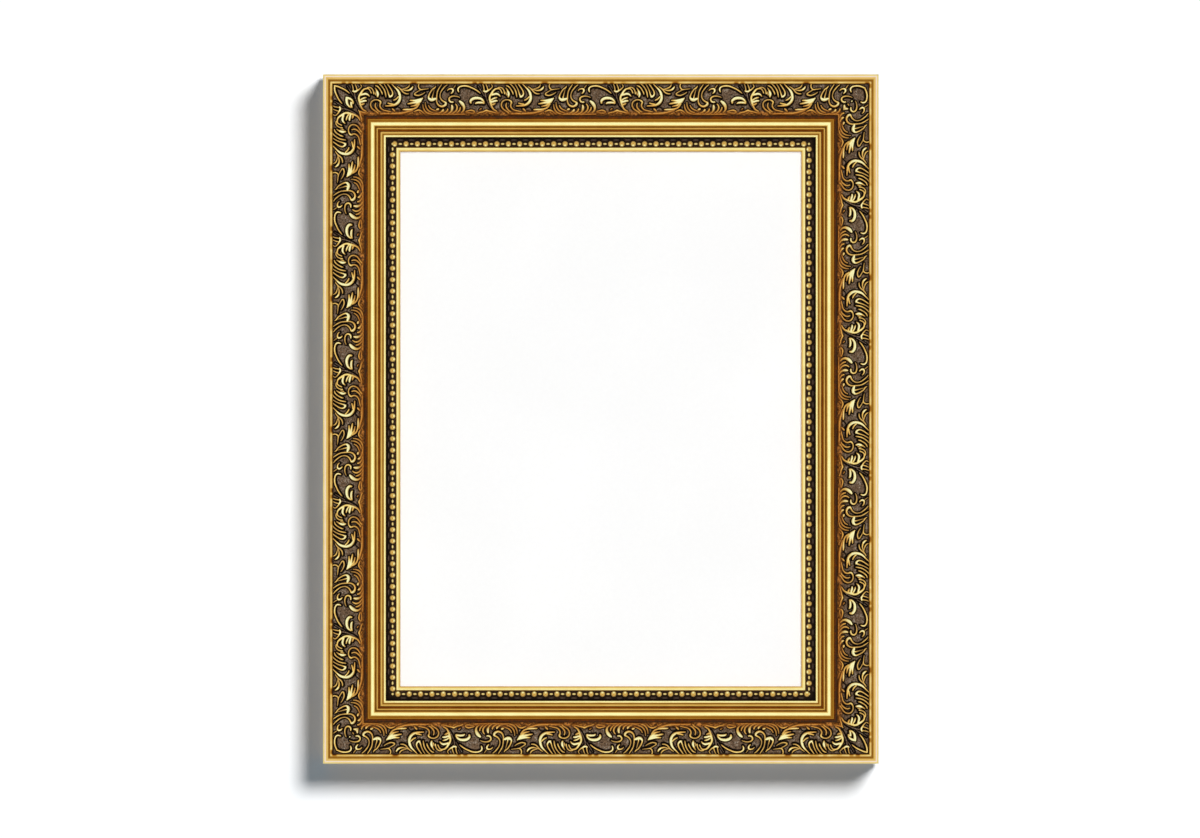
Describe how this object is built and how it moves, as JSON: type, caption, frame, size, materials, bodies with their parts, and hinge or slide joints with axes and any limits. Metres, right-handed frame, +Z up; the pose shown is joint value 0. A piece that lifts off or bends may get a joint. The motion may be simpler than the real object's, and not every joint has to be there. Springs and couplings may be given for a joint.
{
  "type": "ornate gilded picture frame",
  "caption": "Rectangular picture frame of mitred gilded moulding with scrolling relief ornament and beaded sight edge, glazed, with turn buttons and ring hangers behind.",
  "frame": {"origin": "centre of the whole object's box", "axes": "+X to the right seen from the front, +Y from the front towards the wall, +Z up"},
  "size_m": [0.407, 0.037, 0.505],
  "materials": {
    "gilded_wood": "leaf-coloured gilding over wood, dark antique wash in the hollows",
    "gilded_ornament": "gilded crests over a dark brown antiqued ground",
    "gilded_beads": "gilded beads over a near-black ground",
    "glass": "clear polished picture glass",
    "paper": "blank white paper",
    "card": "grey-brown card",
    "hardboard": "brown hardboard, smooth side out",
    "screw_steel": "yellowed zinc plate",
    "blued_steel": "blued spring steel",
    "zinc_plate": "bright zinc plate",
    "brass_plate": "brass plate, satin",
    "brass_wire": "brass plate, polished",
    "bumper_rubber": "matt black rubber"
  },
  "bodies": {
    "frame": {"top_rail": "gilded_wood", "top_ornament": "gilded_ornament", "top_bead_strip": "gilded_beads", "bottom_rail": "gilded_wood", "bottom_ornament": "gilded_ornament", "bottom_bead_strip": "gilded_beads", "left_rail": "gilded_wood", "left_ornament": "gilded_ornament", "left_bead_strip": "gilded_beads", "right_rail": "gilded_wood", "right_ornament": "gilded_ornament", "right_bead_strip": "gilded_beads", "glass_pane": "glass", "picture_sheet": "paper", "filler_board": "card", "backing_board": "hardboard", "turn_button_screws": "screw_steel", "hanger_screws": "screw_steel", "corner_v_nails": "blued_steel", "left_hanger_strap": "brass_plate", "right_hanger_strap": "brass_plate", "wall_bumpers": "bumper_rubber"},
    "top_turn_button_1": {"top_turn_button_1": "zinc_plate"},
    "top_turn_button_2": {"top_turn_button_2": "zinc_plate"},
    "bottom_turn_button_1": {"bottom_turn_button_1": "zinc_plate"},
    "bottom_turn_button_2": {"bottom_turn_button_2": "zinc_plate"},
    "left_turn_button_1": {"left_turn_button_1": "zinc_plate"},
    "left_turn_button_2": {"left_turn_button_2": "zinc_plate"},
    "right_turn_button_1": {"right_turn_button_1": "zinc_plate"},
    "right_turn_button_2": {"right_turn_button_2": "zinc_plate"},
    "left_hanger_ring": {"left_hanger_ring": "brass_wire"},
    "right_hanger_ring": {"right_hanger_ring": "brass_wire"}
  },
  "joints": [
    {"name": "top_turn_button_1_swivel", "type": "hinge", "parent": "frame", "child": "top_turn_button_1", "pos_m": [0.075, 0.0141, 0.209], "axis": [0, 1, 0], "continuous": true},
    {"name": "top_turn_button_2_swivel", "type": "hinge", "parent": "frame", "child": "top_turn_button_2", "pos_m": [-0.075, 0.0141, 0.209], "axis": [0, 1, 0], "continuous": true},
    {"name": "bottom_turn_button_1_swivel", "type": "hinge", "parent": "frame", "child": "bottom_turn_button_1", "pos_m": [-0.075, 0.0141, -0.209], "axis": [0, 1, 0], "continuous": true},
    {"name": "bottom_turn_button_2_swivel", "type": "hinge", "parent": "frame", "child": "bottom_turn_button_2", "pos_m": [0.075, 0.0141, -0.209], "axis": [0, 1, 0], "continuous": true},
    {"name": "left_turn_button_1_swivel", "type": "hinge", "parent": "frame", "child": "left_turn_button_1", "pos_m": [-0.16, 0.0141, 0.068], "axis": [0, 1, 0], "continuous": true},
    {"name": "left_turn_button_2_swivel", "type": "hinge", "parent": "frame", "child": "left_turn_button_2", "pos_m": [-0.16, 0.0141, -0.068], "axis": [0, 1, 0], "continuous": true},
    {"name": "right_turn_button_1_swivel", "type": "hinge", "parent": "frame", "child": "right_turn_button_1", "pos_m": [0.16, 0.0141, -0.068], "axis": [0, 1, 0], "continuous": true},
    {"name": "right_turn_button_2_swivel", "type": "hinge", "parent": "frame", "child": "right_turn_button_2", "pos_m": [0.16, 0.0141, 0.068], "axis": [0, 1, 0], "continuous": true},
    {"name": "left_hanger_ring_swing", "type": "hinge", "parent": "frame", "child": "left_hanger_ring", "pos_m": [-0.1795, 0.0154, 0.1265], "axis": [-1, 0, 0], "range_deg": [0, 178]},
    {"name": "right_hanger_ring_swing", "type": "hinge", "parent": "frame", "child": "right_hanger_ring", "pos_m": [0.1795, 0.0154, 0.1265], "axis": [-1, 0, 0], "range_deg": [0, 178]}
  ]
}
